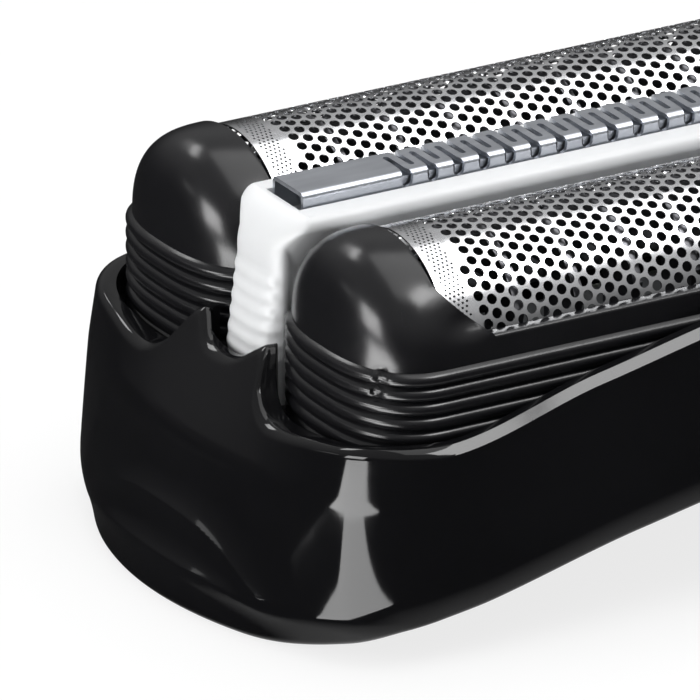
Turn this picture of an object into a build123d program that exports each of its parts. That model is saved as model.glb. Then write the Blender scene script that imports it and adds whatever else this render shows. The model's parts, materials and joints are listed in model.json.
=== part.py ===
# Foil head of an electric shaver: a gloss black outer frame that carries two sprung foil units
# and, between them, a sprung long-hair trimmer, with the slide that drives all three cutters.
# Millimetres, +Z up towards the skin, X along the foils, origin at bottom centre.
import os
from math import atan2, cos, degrees, radians, sin, sqrt

from build123d import *

os.makedirs("parts", exist_ok=True)

# Foil units
module_y = 7.5                # foil axis, either side of the middle
foil_radius = 5.1             # outside of the arched foil
foil_axis_z = 13.9
foil_half_length = 18.5
foil_sheet = 0.12             # drawn a little thicker than the real etched sheet
foil_leg = 1.3                # straight edge of the foil below its axis
hole_side = 1.3               # drawn holes, square, far fewer than the real ones
hole_pitch_x = 3.8
hole_rows = 5
hole_row_angle = 25.0         # degrees between rows round the arch
holes_in_row = 9
punch = 1.0                   # depth of the cut that makes a hole
frame_half_length = foil_half_length + 4.1    # foil frame
frame_half_width = 5.6
frame_corner = 3.75
frame_bottom = 8.6
rail_top = 15.4
dome_root = 14.3              # just above the ribs
dome_proud = 0.2              # dome peak above the foil top
lip_gap = 0.35                # dark groove between foil end and dome
dome_levels = (0.0, 0.3, 0.55, 0.75, 0.9, 0.985)    # shares of the dome's height
rib_count = 7
rib_top = 14.17
rib_pitch = 0.72
rib_slope = 0.36              # half the height of a rib, crest to root
rib_proud = 0.3
lug_width = 2.4               # lug under the rim that keeps the unit in
lug_shift = 2.9               # lug centre, from the foil axis towards the middle
lug_reach = 0.7
lug_height = 0.7
pocket_x = foil_half_length + 2.2             # spring pocket in the dome
pocket_length = 2.4
pocket_width = 5.0
pocket_depth = 3.0
notch_half_length = 7.5       # notch over the drive plate
notch_height = 3.2

# Cutters under the foils
blade_gap = 0.15              # blade edge to foil
blade_thickness = 0.5
blade_pitch = 3.2
blade_pairs = 5
blade_arc = 66.0              # degrees each side of the top
blade_foot = 3.7              # half width where a blade stands on its holder
blade_window = 1.6            # half width of the opening in a blade
blade_window_top = 16.5
holder_top = 12.4
holder_bottom = 9.4
holder_half_length = foil_half_length - 1.9
holder_half_width = 3.4
holder_wall = 0.8
hollow_x = 12.2               # hollows under the holder
hollow_length = 6.4
stroke = 1.0                  # each way

# Trimmer
carrier_top = 18.4            # the guard and what is in it sit in the carrier's top
guard_half_length = foil_half_length + 1.5
guard_half_width = 1.42
guard_top = carrier_top + 0.7
guard_sheet = 0.2
guard_bottom = carrier_top - 1.0
guard_plain_end = 5.4
slot_pitch = 0.7
slot_width = 0.26
slot_reach = 2.1              # how far a slot crosses the top from its open side
slot_drop = 0.9               # how far it runs down the side wall
blade_slide = 0.12            # trimmer blade to guard
trimmer_blade_half_length = guard_half_length - 1.2
blade_lift = 0.3              # blade's lower edge above the guard's
tooth_gap = 0.6               # width between blade teeth
tooth_drop = 0.6
ledge_half_width = 2.9
ledge_edge_z = carrier_top - 0.65
ledge_round = 0.55
carrier_stem = 1.3            # half width between the foil units
carrier_bottom = 9
flare_z = carrier_top - 3.0
flare_mid = (1.95, carrier_top - 1.9)    # on the curve from stem to ledge, y and z
pocket_gap = 0.13
neck_end = foil_half_length + 4.1
neck_half_width = 2.2
neck_root = neck_end - 3.0    # the neck widens from here to its end
neck_bevel = 0.5
neck_top = carrier_top - 1.4
neck_rib_count = 6
neck_rib_top = 15.4
neck_rib_pitch = 0.76
neck_rib_height = 0.38
neck_rib_proud = 0.15
neck_rib_length = 0.8
neck_lug = 0.9                # reach of the lug that keeps the trimmer in
neck_lean = 0.6               # the neck's end leans in by this towards its shoulder
neck_lean_z = 11.4
shoulder_x = neck_end - 2.1
shoulder_z = carrier_top - 2.8

# Outer frame
body_half_width = 15.1
top_z = 15.0                  # the walls are carried up to here before the rim is cut
side_bulge = 0.25             # bow of the long sides
wall_corner = 5.0
wall_stations = (
    # height, half length, half width, bow of the ends
    (0.0, foil_half_length + 8.9, 14.4, 5.5),    # foot, tucked in
    (2.0, foil_half_length + 9.1, body_half_width, 5.0),
    (8.0, foil_half_length + 7.5, 14.9, 3.0),    # shoulder, above which the ends lean in
    (top_z, foil_half_length + 5.5, 14.68, 1.2),
)
wall = 1.2
cavity_top = 9.4              # underside of the rim that keeps the units in
window_gap = 0.35
window_corner = 0.9           # of the trimmer's window
rim_level = 10.9
rim_middle = 14.8
rim_start = foil_half_length + 1.5    # the rim is level beyond this, but for the scallops
rim_quarter = (11.5, 12.9)    # a point on the rim's arch, x and z
rim_clear = 5.0               # how far the cutting tools pass the walls
scallop_points = ((14.3, rim_level), (9.5, 10.3), (6.0, 10.0), (4.3, 10.8))
horn_outer = (3.2, 12.5)      # horn between the scallops, y and z
horn_inner = (2.6, 12.5)
saddle_z = 11.4               # rim behind the trimmer neck
foot_middle = 5.95
foot_start = foil_half_length + 7.9    # the foot edge is flat beyond this, at each end
foot_points = ((foil_half_length + 3.6, 1.75), (17.3, 2.65), (9.2, 4.6))

# Drive
chassis_bottom = 6.0
chassis_top = 6.8
opening_x = 12.5              # openings each side of the drive, for hair to fall through
opening_length = 12.0
opening_width = 19.0
guide = 0.8                   # guide rail of the drive plate
guide_half_length = 8.0
plate_bottom = 6.95
plate_top = 7.75
plate_half_length = 5.5
plate_half_width = 10.5
tongue_half_length = 0.9
tongue_half_width = 0.9
tongue_top = 11
boss_radius = 2.1
boss_top = 9.4
drive_bore = 1.5
drive_bore_depth = 3.0
fork_gap = 0.1
fork_bar = 10.4               # underside of the fork's crossbar
fork_bottom = 8.7
fork_window = 5.5             # half length of the opening in the trimmer carrier
prong = 1.0
stem_half_length = 1.2
stem_half_width = 0.6
slide_half_length = 6.0
fit_gap = 0.12
small_corner = 1.0
leaf = 0.2                    # spring strip
strip_width = 2.4
strip_fold = 0.8              # half the length of a fold
press_x = (-4.8, -3.4, -1.6, -1.3)
neck_spring_x = neck_end - 1.1
neck_strip_width = 1.8

blade_radius = foil_radius - foil_sheet - blade_gap
rib_taper = degrees(atan2(rib_proud, rib_slope))
slot_span = 2 * (guard_half_length - guard_plain_end)
slot_count = int(slot_span / slot_pitch)
tooth_gaps = slot_count // 2
ends = (-1, 1)
scallop_edge = body_half_width + rim_clear


def mirrored(point):
    # the same point on the other side of the middle
    return (-point[0], point[1])


def bulged_outline(half_length, half_width, bulge, corner):
    # rounded plan with bowed ends and slightly bowed sides
    corner_x = half_length - bulge
    corner_y = half_width - side_bulge
    with BuildSketch() as outline:
        with BuildLine():
            ThreePointArc((-corner_x, -corner_y), (0, -half_width), (corner_x, -corner_y))
            ThreePointArc((corner_x, -corner_y), (half_length, 0), (corner_x, corner_y))
            ThreePointArc((corner_x, corner_y), (0, half_width), (-corner_x, corner_y))
            ThreePointArc((-corner_x, corner_y), (-half_length, 0), (-corner_x, -corner_y))
        make_face()
        fillet(outline.vertices(), corner)
    return outline.sketch


def wall_plan(z, inset):
    # plan of the frame's walls at a height, less an inset: straight between the stations
    for low, high in zip(wall_stations, wall_stations[1:]):
        if z <= high[0]:
            break
    share = (z - low[0]) / (high[0] - low[0])
    length, width, bulge = [a + (b - a) * share for a, b in zip(low[1:], high[1:])]
    return bulged_outline(length - inset, width - inset, bulge, wall_corner - inset)


# Outer frame: lofted wall, arched along its long sides, with a scalloped rim at each end
with BuildPart() as outer_frame:
    heights = [station[0] for station in wall_stations]
    for z in heights:
        with BuildSketch(Plane.XY.offset(z)):
            add(wall_plan(z, 0))
    loft(ruled=True)
    # hollow below the rim
    for z in [z for z in heights if z < cavity_top] + [cavity_top]:
        with BuildSketch(Plane.XY.offset(z)):
            add(wall_plan(z, wall))
    loft(ruled=True, mode=Mode.SUBTRACT)
    # windows for the two foil units and the trimmer
    with BuildSketch(Plane.XY.offset(cavity_top - 1)):
        for side in ends:
            with Locations((0, side * module_y)):
                RectangleRounded(
                    2 * (frame_half_length + rib_proud + window_gap),
                    2 * (frame_half_width + rib_proud + window_gap),
                    frame_corner + rib_proud + window_gap,
                )
        RectangleRounded(
            2 * (neck_end + neck_rib_proud + window_gap),
            2 * (neck_half_width + neck_rib_proud + window_gap),
            window_corner,
        )
    extrude(amount=top_z, mode=Mode.SUBTRACT)
    # long-side rim rises in an arch to the middle
    with BuildSketch(Plane.XZ):
        with BuildLine():
            Spline(
                (-rim_start, rim_level),
                (-rim_quarter[0], rim_quarter[1]),
                (0, rim_middle),
                rim_quarter,
                (rim_start, rim_level),
                tangents=((1, 0), (1, 0)),
            )
            Polyline(
                (rim_start, rim_level),
                (rim_start, top_z + rim_clear),
                (-rim_start, top_z + rim_clear),
                (-rim_start, rim_level),
            )
        make_face()
    extrude(amount=body_half_width + rim_clear, both=True, mode=Mode.SUBTRACT)
    # end rim: a scallop for each unit, a horn between neighbours
    for side in ends:
        with BuildSketch(Plane.YZ.offset(side * rim_start)):
            with BuildLine():
                Polyline(
                    (-scallop_points[0][0], rim_level),
                    (-scallop_edge, rim_level),
                    (-scallop_edge, top_z + rim_clear),
                    (scallop_edge, top_z + rim_clear),
                    (scallop_edge, rim_level),
                    scallop_points[0],
                )
                Spline(*scallop_points, horn_outer)
                Spline(horn_outer, horn_inner, (0, saddle_z), mirrored(horn_inner), mirrored(horn_outer))
                Spline(mirrored(horn_outer), *[mirrored(point) for point in reversed(scallop_points)])
            make_face()
        extrude(amount=side * scallop_edge, mode=Mode.SUBTRACT)
    # foot edge: one long arch from end to end, flat at the ends
    with BuildSketch(Plane.XZ):
        with BuildLine():
            Spline(
                (-foot_start, 0),
                *[mirrored(point) for point in foot_points],
                (0, foot_middle),
                *reversed(foot_points),
                (foot_start, 0),
                tangents=((1, 0.2), (1, -0.2)),
            )
            Polyline(
                (foot_start, 0), (foot_start, -rim_clear), (-foot_start, -rim_clear), (-foot_start, 0)
            )
        make_face()
    extrude(amount=body_half_width + rim_clear, both=True, mode=Mode.SUBTRACT)
outer_frame.part.label = "outer_frame"
export_step(outer_frame.part, "parts/outer_frame.step")


def dome_plan(share):
    # plan of a dome at a share of its height: straight at the lip, rounded towards the end
    half = frame_half_width * sqrt(1 - share**2)
    reach = (frame_half_length - foil_half_length - lip_gap) * (1 - share**3) ** (1 / 3)
    corner = frame_corner * half / frame_half_width
    flat = half - corner
    with BuildSketch() as plan:
        with BuildLine():
            Line((0, -half), (0, half))
            EllipticalCenterArc((0, flat), reach, corner, 0, arc_size=90)
            Line((reach, flat), (reach, -flat))
            EllipticalCenterArc((0, -flat), reach, corner, 270, arc_size=90)
        make_face()
    return plan.sketch


def foil_frame(y, inner_side):
    # black moulding round one foil: ribbed skirt, two side rails and a domed end at each end
    with BuildPart() as body:
        with BuildSketch(Plane((0, y, frame_bottom))):
            RectangleRounded(2 * frame_half_length, 2 * frame_half_width, frame_corner)
        extrude(amount=dome_root - frame_bottom)
        with BuildSketch(Plane((0, y, dome_root))):
            Rectangle(2 * (foil_half_length + lip_gap), 2 * frame_half_width)
        extrude(amount=rail_top - dome_root)
        # bellows-like ribs, each a ridge of two slopes
        for rib in range(rib_count):
            with BuildSketch(Plane((0, y, rib_top - rib * rib_pitch - rib_slope))):
                RectangleRounded(
                    2 * (frame_half_length + rib_proud),
                    2 * (frame_half_width + rib_proud),
                    frame_corner + rib_proud,
                )
            extrude(amount=rib_slope, both=True, taper=rib_taper)
        # domes
        dome_height = foil_axis_z + foil_radius + dome_proud - dome_root
        for side in ends:
            start = side * (foil_half_length + lip_gap)
            for share in dome_levels:
                z = dome_root + share * dome_height
                with BuildSketch(Plane((start, y, z), x_dir=(side, 0, 0), z_dir=(0, 0, 1))):
                    add(dome_plan(share))
            loft()
        # lugs under the rim
        for side in ends:
            lug_x = side * (frame_half_length + lug_reach / 2)
            with BuildSketch(Plane((lug_x, y + inner_side * lug_shift, frame_bottom))):
                Rectangle(lug_reach + rib_proud, lug_width)
            extrude(amount=lug_height)
        # tunnel for foil and cutter, open top and bottom
        with BuildSketch(Plane((0, y, frame_bottom))):
            Rectangle(2 * (foil_half_length + lip_gap), 2 * foil_radius)
        extrude(amount=2 * foil_radius + rail_top - frame_bottom, mode=Mode.SUBTRACT)
        # spring pocket in each dome
        for side in ends:
            with BuildSketch(Plane((side * pocket_x, y, frame_bottom))):
                Rectangle(pocket_length, pocket_width)
            extrude(amount=pocket_depth, mode=Mode.SUBTRACT)
        # notch over the drive plate
        with BuildSketch(Plane((0, y + inner_side * frame_half_width, frame_bottom))):
            Rectangle(2 * notch_half_length, 4 * (frame_half_width - foil_radius) + 2 * rib_proud)
        extrude(amount=notch_height, mode=Mode.SUBTRACT)
    return body.part


def foil_sheet_part(y):
    # arched perforated foil with a straight leg along each edge
    inner = foil_radius - foil_sheet
    low = foil_axis_z - foil_leg
    with BuildPart() as sheet:
        with BuildSketch(Plane((-foil_half_length, y, 0), x_dir=(0, 1, 0), z_dir=(1, 0, 0))):
            with BuildLine():
                Line((foil_radius, low), (foil_radius, foil_axis_z))
                CenterArc((0, foil_axis_z), foil_radius, 0, 180)
                Line((-foil_radius, foil_axis_z), (-foil_radius, low))
                Line((-foil_radius, low), (-inner, low))
                Line((-inner, low), (-inner, foil_axis_z))
                CenterArc((0, foil_axis_z), inner, 180, -180)
                Line((inner, foil_axis_z), (inner, low))
                Line((inner, low), (foil_radius, low))
            make_face()
        extrude(amount=2 * foil_half_length)
        for row in range(hole_rows):
            turn = radians((row - (hole_rows - 1) / 2) * hole_row_angle)
            count = holes_in_row - row % 2
            up = (0, sin(turn), cos(turn))
            start = inner - punch / 2
            base = (0, y + sin(turn) * start, foil_axis_z + cos(turn) * start)
            with BuildSketch(Plane(base, x_dir=(1, 0, 0), z_dir=up)):
                with GridLocations(hole_pitch_x, 1, count, 1):
                    Rectangle(hole_side, hole_side)
            extrude(amount=punch, mode=Mode.SUBTRACT)
    return sheet.part


def cutter_blades(y):
    # comb of arched blades that wipe the inside of the foil
    with BuildPart() as comb:
        for pair in range(blade_pairs):
            for side in ends:
                x = side * (pair + 0.5) * blade_pitch - blade_thickness / 2
                with BuildSketch(Plane((x, y, 0), x_dir=(0, 1, 0), z_dir=(1, 0, 0))):
                    reach = blade_radius * sin(radians(blade_arc))
                    height = foil_axis_z + blade_radius * cos(radians(blade_arc))
                    with BuildLine():
                        CenterArc((0, foil_axis_z), blade_radius, 90 - blade_arc, 2 * blade_arc)
                        Polyline(
                            (-reach, height),
                            (-blade_foot, holder_top),
                            (-blade_window, holder_top),
                            (-blade_window, blade_window_top),
                            (blade_window, blade_window_top),
                            (blade_window, holder_top),
                            (blade_foot, holder_top),
                            (reach, height),
                        )
                    make_face()
                extrude(amount=blade_thickness)
    return comb.part


def cutter_holder(y):
    # plastic bar under the blades, with the slot that the drive tongue enters
    with BuildPart() as bar:
        with BuildSketch(Plane((0, y, holder_bottom))):
            RectangleRounded(2 * holder_half_length, 2 * holder_half_width, small_corner)
        extrude(amount=holder_top - holder_bottom)
        with BuildSketch(Plane((0, y, holder_bottom))):
            Rectangle(2 * (tongue_half_length + fit_gap), 2 * (tongue_half_width + fit_gap))
        extrude(amount=holder_top - holder_bottom, mode=Mode.SUBTRACT)
        # lightening pockets from below
        with BuildSketch(Plane((0, y, holder_bottom))):
            for side in ends:
                with Locations((side * hollow_x, 0)):
                    Rectangle(hollow_length, 2 * (holder_half_width - holder_wall))
        extrude(amount=holder_top - holder_bottom - holder_wall, mode=Mode.SUBTRACT)
    return bar.part


def strip_spring(points, y, width):
    # bent spring strip: a line in the XZ plane given thickness and width
    with BuildPart() as strip:
        with BuildSketch(Plane.XZ.offset(-y)):
            with BuildLine() as path:
                Polyline(*points)
            trace(path.line, line_width=leaf)
        extrude(amount=width / 2, both=True)
    return strip.part


units = (("front", -1), ("rear", 1))
for name, side in units:
    y = side * module_y
    frame_part = foil_frame(y, -side)
    frame_part.label = f"{name}_foil_frame"
    export_step(frame_part, f"parts/{name}_foil_frame.step")
    sheet_part = foil_sheet_part(y)
    sheet_part.label = f"{name}_foil"
    export_step(sheet_part, f"parts/{name}_foil.step")
    blades_part = cutter_blades(y)
    blades_part.label = f"{name}_cutter_blades"
    export_step(blades_part, f"parts/{name}_cutter_blades.step")
    holder_part = cutter_holder(y)
    holder_part.label = f"{name}_cutter_holder"
    export_step(holder_part, f"parts/{name}_cutter_holder.step")
    # pressing spring between drive plate and cutter holder
    low = plate_top + leaf / 2
    high = holder_bottom - leaf / 2
    path = [(press_x[0], low), (press_x[1], low), (press_x[2], high), (press_x[3], high)]
    press = strip_spring(path, y, strip_width)
    press.label = f"{name}_cutter_spring"
    export_step(press, f"parts/{name}_cutter_spring.step")
    # float springs under the domes
    for end_name, end in (("left", -1), ("right", 1)):
        low = chassis_top + leaf / 2
        high = frame_bottom + pocket_depth - leaf / 2
        near = end * (pocket_x - strip_fold)
        far = end * (pocket_x + strip_fold)
        path = [(near, low), (far, low), (near, (low + high) / 2), (far, high), (near, high)]
        spring = strip_spring(path, y, strip_width)
        spring.label = f"{name}_float_spring_{end_name}"
        export_step(spring, f"parts/{name}_float_spring_{end_name}.step")

# Trimmer carrier: white rail between the foils with a ribbed neck at each end
shoulder_end = neck_end - neck_lean
shoulder_mid = (shoulder_end - 0.45, carrier_top - 0.95)
edge_mid = (ledge_half_width - 0.12, carrier_top - 0.17)
with BuildPart() as trimmer_carrier:
    with BuildSketch(Plane((-neck_end, 0, 0), x_dir=(0, 1, 0), z_dir=(1, 0, 0))):
        with BuildLine():
            Line((-carrier_stem, carrier_bottom), (carrier_stem, carrier_bottom))
            Line((carrier_stem, carrier_bottom), (carrier_stem, flare_z))
            ThreePointArc((carrier_stem, flare_z), flare_mid, (ledge_half_width, ledge_edge_z))
            ThreePointArc(
                (ledge_half_width, ledge_edge_z),
                edge_mid,
                (ledge_half_width - ledge_round, carrier_top),
            )
            Line((ledge_half_width - ledge_round, carrier_top), (-ledge_half_width + ledge_round, carrier_top))
            ThreePointArc(
                (-ledge_half_width + ledge_round, carrier_top),
                mirrored(edge_mid),
                (-ledge_half_width, ledge_edge_z),
            )
            ThreePointArc((-ledge_half_width, ledge_edge_z), mirrored(flare_mid), (-carrier_stem, flare_z))
            Line((-carrier_stem, flare_z), (-carrier_stem, carrier_bottom))
        make_face()
    extrude(amount=2 * neck_end)
    for side in ends:
        with BuildSketch(Plane.XY.offset(carrier_bottom)):
            Polygon(
                (side * neck_root, -carrier_stem),
                (side * (neck_root + 1), -carrier_stem - 0.2),
                (side * (neck_root + 2), -neck_half_width),
                (side * (neck_end - neck_bevel), -neck_half_width),
                (side * neck_end, -neck_half_width + neck_bevel),
                (side * neck_end, neck_half_width - neck_bevel),
                (side * (neck_end - neck_bevel), neck_half_width),
                (side * (neck_root + 2), neck_half_width),
                (side * (neck_root + 1), carrier_stem + 0.2),
                (side * neck_root, carrier_stem),
                align=None,
            )
        extrude(amount=neck_top - carrier_bottom)
    # shoulder rounded off towards each end
    with BuildSketch(Plane.XZ):
        with BuildLine():
            Line((-neck_end, carrier_bottom), (neck_end, carrier_bottom))
            Polyline((neck_end, carrier_bottom), (neck_end, neck_lean_z), (shoulder_end, shoulder_z))
            ThreePointArc((shoulder_end, shoulder_z), shoulder_mid, (shoulder_x, carrier_top))
            Line((shoulder_x, carrier_top), (-shoulder_x, carrier_top))
            ThreePointArc(
                (-shoulder_x, carrier_top), (-shoulder_mid[0], shoulder_mid[1]), (-shoulder_end, shoulder_z)
            )
            Polyline((-shoulder_end, shoulder_z), (-neck_end, neck_lean_z), (-neck_end, carrier_bottom))
        make_face()
    extrude(amount=10, both=True, mode=Mode.INTERSECT)
    # grip ribs round each neck
    for rib in range(neck_rib_count):
        z = neck_rib_top - rib * neck_rib_pitch - neck_rib_height
        rib_end = neck_end - neck_lean * max(0, z - neck_lean_z) / (shoulder_z - neck_lean_z)
        for side in ends:
            with BuildSketch(Plane((side * (rib_end + neck_rib_proud - neck_rib_length / 2), 0, z))):
                Rectangle(neck_rib_length, 2 * (neck_half_width + neck_rib_proud))
            extrude(amount=neck_rib_height)
    # lugs under the rim
    for side in ends:
        with BuildSketch(Plane((side * (neck_end + neck_lug / 2 - 0.15), 0, carrier_bottom - lug_height / 2))):
            Rectangle(neck_lug + 0.3, lug_width)
        extrude(amount=lug_height)
    # pocket for the guard, slot for the blade slide and window for the drive fork
    with BuildSketch(Plane.XY.offset(guard_bottom)):
        Rectangle(2 * (guard_half_length + 2 * pocket_gap), 2 * (guard_half_width + pocket_gap))
    extrude(amount=guard_top - guard_bottom, mode=Mode.SUBTRACT)
    with BuildSketch(Plane.XY.offset(carrier_bottom)):
        Rectangle(2 * (stem_half_length + stroke + window_gap), 2 * (stem_half_width + fork_gap))
    extrude(amount=guard_top - carrier_bottom, mode=Mode.SUBTRACT)
    with BuildSketch(Plane.XY.offset(carrier_bottom)):
        Rectangle(2 * fork_window, 2 * neck_half_width)
    extrude(amount=flare_z - carrier_bottom - 1, mode=Mode.SUBTRACT)
trimmer_carrier.part.label = "trimmer_carrier"
export_step(trimmer_carrier.part, "parts/trimmer_carrier.step")


def channel(half_width, top, sheet, bottom):
    # section of an inverted U strip
    with BuildSketch() as section:
        Polygon(
            (-half_width, bottom),
            (-half_width, top),
            (half_width, top),
            (half_width, bottom),
            (half_width - sheet, bottom),
            (half_width - sheet, top - sheet),
            (-half_width + sheet, top - sheet),
            (-half_width + sheet, bottom),
            align=None,
        )
    return section.sketch


# Trimmer guard: slots enter from the front and the rear in turn and leave a winding strip
with BuildPart() as trimmer_guard:
    with BuildSketch(Plane((-guard_half_length, 0, 0), x_dir=(0, 1, 0), z_dir=(1, 0, 0))):
        add(channel(guard_half_width, guard_top, guard_sheet, guard_bottom))
    extrude(amount=2 * guard_half_length)
    for slot in range(slot_count + 1):
        x = (slot - slot_count / 2) * slot_pitch
        side = 1 if slot % 2 else -1
        y = side * (guard_half_width - slot_reach / 2 + guard_sheet)
        with BuildSketch(Plane((x, y, guard_top - slot_drop))):
            Rectangle(slot_width, slot_reach + 2 * guard_sheet)
        extrude(amount=slot_drop + guard_sheet, mode=Mode.SUBTRACT)
trimmer_guard.part.label = "trimmer_guard"
export_step(trimmer_guard.part, "parts/trimmer_guard.step")

# Trimmer blade: the toothed channel that slides inside the guard
with BuildPart() as trimmer_blade:
    blade_half_width = guard_half_width - guard_sheet - blade_slide
    blade_top = guard_top - guard_sheet - blade_slide
    with BuildSketch(Plane((-trimmer_blade_half_length, 0, 0), x_dir=(0, 1, 0), z_dir=(1, 0, 0))):
        add(channel(blade_half_width, blade_top, guard_sheet, guard_bottom + blade_lift))
    extrude(amount=2 * trimmer_blade_half_length)
    for tooth in range(tooth_gaps):
        x = (tooth - (tooth_gaps - 1) / 2) * 2 * slot_pitch
        for side in ends:
            with BuildSketch(Plane((x, side * blade_half_width, blade_top - tooth_drop))):
                Rectangle(tooth_gap, 2 * tooth_drop)
            extrude(amount=2 * tooth_drop, mode=Mode.SUBTRACT)
trimmer_blade.part.label = "trimmer_blade"
export_step(trimmer_blade.part, "parts/trimmer_blade.step")

# Slide inside the trimmer blade, with the fork that reaches down to the drive
with BuildPart() as trimmer_slide:
    inner_half = blade_half_width - guard_sheet
    slide_top = blade_top - guard_sheet
    slide_bottom = guard_bottom + blade_lift / 2
    with BuildSketch(Plane.XY.offset(slide_bottom)):
        Rectangle(2 * slide_half_length, 2 * inner_half)
    extrude(amount=slide_top - slide_bottom)
    with BuildSketch(Plane.XY.offset(fork_bar)):
        Rectangle(2 * stem_half_length, 2 * stem_half_width)
    extrude(amount=guard_bottom + blade_lift - fork_bar)
    with BuildSketch(Plane.XY.offset(fork_bar)):
        Rectangle(2 * (boss_radius + fork_gap + prong), 2 * stem_half_width)
    extrude(amount=prong)
    for side in ends:
        with BuildSketch(Plane((side * (boss_radius + fork_gap + prong / 2), 0, fork_bottom))):
            Rectangle(prong, 2 * stem_half_width)
        extrude(amount=fork_bar + prong / 2 - fork_bottom)
trimmer_slide.part.label = "trimmer_slide"
export_step(trimmer_slide.part, "parts/trimmer_slide.step")

# Springs under the trimmer necks
for end_name, end in (("left", -1), ("right", 1)):
    low = chassis_top + leaf / 2
    high = carrier_bottom - leaf / 2
    near = end * (neck_spring_x - strip_fold)
    far = end * (neck_spring_x + strip_fold)
    spring = strip_spring([(near, low), (far, low), (near, high), (far, high)], 0, neck_strip_width)
    spring.label = f"trimmer_spring_{end_name}"
    export_step(spring, f"parts/trimmer_spring_{end_name}.step")

# Chassis: ring snapped into the frame under the units, with guide rails for the drive plate
with BuildPart() as chassis:
    with BuildSketch(Plane.XY.offset(chassis_bottom)):
        add(wall_plan(chassis_top, wall + fit_gap))
        for side in ends:
            with Locations((side * opening_x, 0)):
                Rectangle(opening_length, opening_width, mode=Mode.SUBTRACT)
        Rectangle(2 * (boss_radius + stroke + window_gap), 2 * (boss_radius + window_gap), mode=Mode.SUBTRACT)
    extrude(amount=chassis_top - chassis_bottom)
    for side in ends:
        with BuildSketch(Plane((0, side * (plate_half_width + fit_gap + guide / 2), chassis_top))):
            Rectangle(2 * guide_half_length, guide)
        extrude(amount=plate_top - chassis_top)
chassis.part.label = "chassis"
export_step(chassis.part, "parts/chassis.step")

# Drive slide: plate with a socket for the drive pin and a tongue up into each cutter holder
with BuildPart() as drive_slide:
    with BuildSketch(Plane.XY.offset(plate_bottom)):
        RectangleRounded(2 * plate_half_length, 2 * plate_half_width, small_corner)
    extrude(amount=plate_top - plate_bottom)
    for side in ends:
        with BuildSketch(Plane((0, side * module_y, plate_bottom))):
            Rectangle(2 * tongue_half_length, 2 * tongue_half_width)
        extrude(amount=tongue_top - plate_bottom)
    with BuildSketch(Plane.XY.offset(chassis_bottom)):
        Circle(boss_radius)
    extrude(amount=boss_top - chassis_bottom)
    with BuildSketch(Plane.XY.offset(chassis_bottom)):
        Circle(drive_bore)
    extrude(amount=drive_bore_depth, mode=Mode.SUBTRACT)
drive_slide.part.label = "drive_slide"
export_step(drive_slide.part, "parts/drive_slide.step")
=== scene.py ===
import json
from math import cos, hypot, pi, radians, sin, sqrt

import bmesh
import bpy
import numpy as np
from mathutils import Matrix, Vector


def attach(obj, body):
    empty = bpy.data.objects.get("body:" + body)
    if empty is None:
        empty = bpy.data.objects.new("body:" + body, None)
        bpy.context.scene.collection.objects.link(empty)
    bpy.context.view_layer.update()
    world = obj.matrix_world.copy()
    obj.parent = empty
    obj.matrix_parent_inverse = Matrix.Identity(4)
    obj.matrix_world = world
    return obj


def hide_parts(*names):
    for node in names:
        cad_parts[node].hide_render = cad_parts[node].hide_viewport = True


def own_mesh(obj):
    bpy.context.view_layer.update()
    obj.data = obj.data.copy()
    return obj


# Shaver foil head on a white table. The pieces' dictionaries are in millimetres,
# meshes, lamps and camera in metres.
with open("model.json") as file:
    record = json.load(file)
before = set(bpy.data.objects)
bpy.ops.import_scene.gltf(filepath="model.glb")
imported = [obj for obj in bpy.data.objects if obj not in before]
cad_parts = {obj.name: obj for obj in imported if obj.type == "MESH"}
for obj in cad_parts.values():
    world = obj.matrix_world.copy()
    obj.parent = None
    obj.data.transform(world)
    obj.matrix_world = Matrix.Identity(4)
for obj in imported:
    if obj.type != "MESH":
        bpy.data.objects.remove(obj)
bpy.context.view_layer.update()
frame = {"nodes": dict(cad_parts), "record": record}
print("frame in,", len(frame["nodes"]), "nodes")


class Flow:
    # one output socket of a shader; arithmetic on it adds Math nodes
    def __init__(self, tree, out=None):
        self.tree = tree
        self.out = out

    def make(self, kind, settings=None, sockets=None, output=0):
        node = self.tree.nodes.new(kind)
        for key, value in (settings or {}).items():
            if key == "stops":
                ramp = node.color_ramp
                for place, tone in value[1:-1]:
                    ramp.elements.new(place).color = tone
                ramp.elements[0].position, ramp.elements[0].color = value[0]
                ramp.elements[-1].position, ramp.elements[-1].color = value[-1]
            else:
                setattr(node, key, value)
        for key, value in (sockets or {}).items():
            if isinstance(value, Flow):
                self.tree.links.new(value.out, node.inputs[key])
            else:
                node.inputs[key].default_value = value
        return Flow(self.tree, node.outputs[output])

    def sum(self, operation, a, b):
        return self.make("ShaderNodeMath", {"operation": operation}, {0: a, 1: b})

    def __add__(self, other):
        return self.sum("ADD", self, other)

    def __radd__(self, other):
        return self.sum("ADD", other, self)

    def __sub__(self, other):
        return self.sum("SUBTRACT", self, other)

    def __mul__(self, other):
        return self.sum("MULTIPLY", self, other)

    def noise(self, scale, detail=3.0, rough=0.55, stretch=(1, 1, 1)):
        # noise on the piece's own coordinates, scale in features per metre
        place = self.make("ShaderNodeTexCoord", output=3)
        turned = self.make("ShaderNodeMapping", None, {0: place, 3: stretch})
        sockets = {"Vector": turned, "Scale": scale, "Detail": detail, "Roughness": rough}
        return self.make("ShaderNodeTexNoise", None, sockets)

    def tint(self, dark, light):
        # colour between two, by this value
        sockets = {0: self, 6: dark + (1,), 7: light + (1,)}
        return self.make("ShaderNodeMix", {"data_type": "RGBA"}, sockets, 2)

    def bump(self, strength, depth):
        return self.make("ShaderNodeBump", None, {"Strength": strength, "Distance": depth, "Height": self})


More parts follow.
